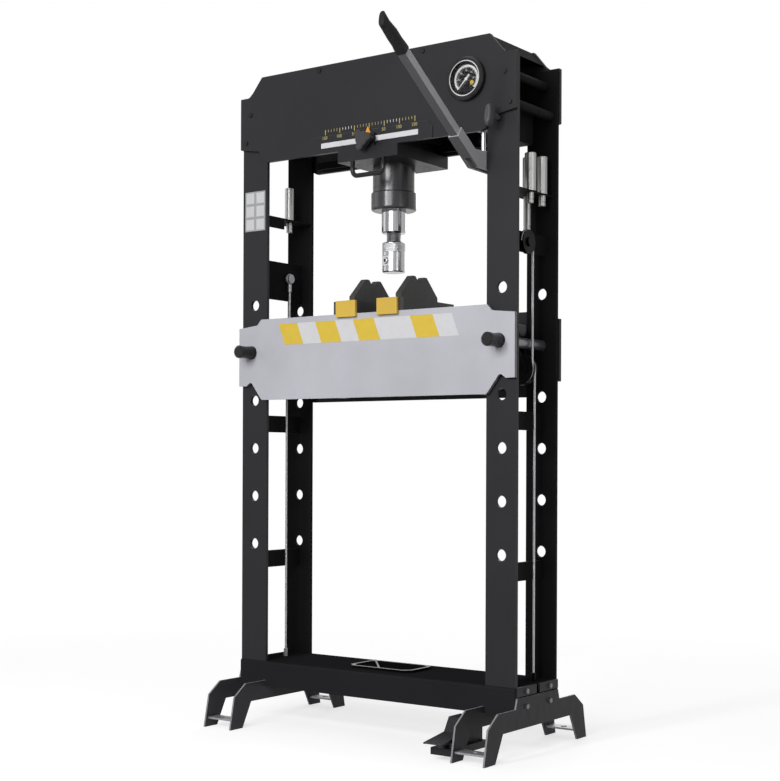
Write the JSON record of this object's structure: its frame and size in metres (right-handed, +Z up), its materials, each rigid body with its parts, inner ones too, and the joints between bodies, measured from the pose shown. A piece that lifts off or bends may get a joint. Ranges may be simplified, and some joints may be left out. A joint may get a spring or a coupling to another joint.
{
  "type": "hydraulic press",
  "caption": "Floor-standing plate-frame workshop press with a sliding hydraulic ram, a height-set bed on pins, V-blocks, a hand pump lever, a foot pedal and a pressure gauge.",
  "frame": {"origin": "on the floor under the middle of the whole press", "axes": "+X to the right seen from the front, +Y to the rear, +Z up"},
  "size_m": [0.936, 0.8036, 1.834],
  "materials": {
    "frame_black": "satin black powder coat",
    "bright_steel": "turned or ground steel",
    "zinc": "zinc plated",
    "rope_steel": "laid wire",
    "bed_grey": "satin light grey paint",
    "machine_grey": "semi-gloss dark grey paint",
    "chrome": "polished",
    "lever_grey": "satin grey paint",
    "cap_yellow": "satin yellow paint",
    "pointer_orange": "satin paint",
    "black_knob": "moulded",
    "grip_rubber": "matt",
    "dial_black": "printed dial",
    "needle_white": "painted",
    "lens": "clear"
  },
  "bodies": {
    "frame": {"front_left_column": "frame_black", "front_right_column": "frame_black", "rear_left_column": "frame_black", "rear_right_column": "frame_black", "head_front_plate": "frame_black", "head_rear_plate": "frame_black", "head_cover": "frame_black", "scale_plate": "frame_black", "column_ties": "frame_black", "rope_anchor_plate": "frame_black", "drum_bracket": "frame_black", "tool_racks": "frame_black", "base_channel": "frame_black", "base_end_plates": "frame_black", "left_outer_foot": "frame_black", "left_inner_foot": "frame_black", "right_outer_foot": "frame_black", "right_inner_foot": "frame_black", "bed_rear_plate": "frame_black", "pedal_base": "frame_black", "head_spacers": "bright_steel", "head_rails": "bright_steel", "guide_strip": "bright_steel", "mandrels": "bright_steel", "bed_spacers": "bright_steel", "sheave_carriers": "bright_steel", "rope_sheaves": "bright_steel", "rope_fittings": "bright_steel", "drip_tray": "bright_steel", "toe_plates": "zinc", "frame_bolts": "zinc", "left_rope": "rope_steel", "right_rope": "rope_steel", "bed_front_plate": "bed_grey", "vee_block_left": "machine_grey", "vee_block_right": "machine_grey", "pump_body": "machine_grey", "oil_tank": "machine_grey", "release_valve": "machine_grey", "vee_block_caps": "cap_yellow", "gauge_case": "black_knob", "gauge_dial": "dial_black", "gauge_lens": "lens"},
    "carriage": {"carriage": "machine_grey", "cylinder_barrel": "machine_grey", "carriage_handle": "bright_steel", "scale_pointer": "pointer_orange"},
    "clamp": {"clamp_knob": "black_knob"},
    "ram": {"ram": "chrome"},
    "nose": {"nose": "zinc"},
    "lever": {"hand_lever": "lever_grey", "lever_grip": "grip_rubber"},
    "plunger": {"pump_plunger": "bright_steel"},
    "release": {"release_knob": "black_knob"},
    "needle": {"gauge_needle": "needle_white"},
    "pedal": {"foot_pedal": "frame_black"},
    "pin_left": {"bed_pin_left": "bright_steel", "pin_grip_left": "black_knob"},
    "pin_right": {"bed_pin_right": "bright_steel", "pin_grip_right": "black_knob"}
  },
  "joints": [
    {"name": "carriage_slide", "type": "slide", "parent": "frame", "child": "carriage", "axis": [1, 0, 0], "range_m": [-0.15, 0.15]},
    {"name": "clamp_turn", "type": "hinge", "parent": "carriage", "child": "clamp", "pos_m": [0, 0.0168, 1.607], "axis": [0, 1, 0], "range_deg": [-90, 90]},
    {"name": "ram_slide", "type": "slide", "parent": "carriage", "child": "ram", "axis": [0, 0, -1], "range_m": [-0.035, 0.18]},
    {"name": "nose_screw", "type": "slide", "parent": "ram", "child": "nose", "axis": [0, 0, -1], "range_m": [-0.02, 0.03]},
    {"name": "lever_swing", "type": "hinge", "parent": "frame", "child": "lever", "pos_m": [0.35, 0.10193, 1.50777], "axis": [1, 0, 0], "range_deg": [-10, 40]},
    {"name": "plunger_slide", "type": "slide", "parent": "frame", "child": "plunger", "axis": [0, 0, 1], "range_m": [-0.045, 0.015]},
    {"name": "release_turn", "type": "hinge", "parent": "frame", "child": "release", "pos_m": [0.402, 0.0378, 1.618], "axis": [0, 1, 0], "range_deg": [-90, 90]},
    {"name": "needle_turn", "type": "hinge", "parent": "frame", "child": "needle", "pos_m": [0.313, 0.0233, 1.727], "axis": [0, 1, 0], "range_deg": [0, 270]},
    {"name": "pedal_tilt", "type": "hinge", "parent": "frame", "child": "pedal", "pos_m": [0.328, -0.0452, 0.046], "axis": [1, 0, 0], "range_deg": [0, 10]},
    {"name": "pin_left_pull", "type": "slide", "parent": "frame", "child": "pin_left", "axis": [0, -1, 0], "range_m": [0, 0.26]},
    {"name": "pin_right_pull", "type": "slide", "parent": "frame", "child": "pin_right", "axis": [0, -1, 0], "range_m": [0, 0.26]}
  ],
  "couplings": [
    {"joint": "plunger_slide", "follows": "lever_swing", "m_per_rad": -0.05313}
  ]
}
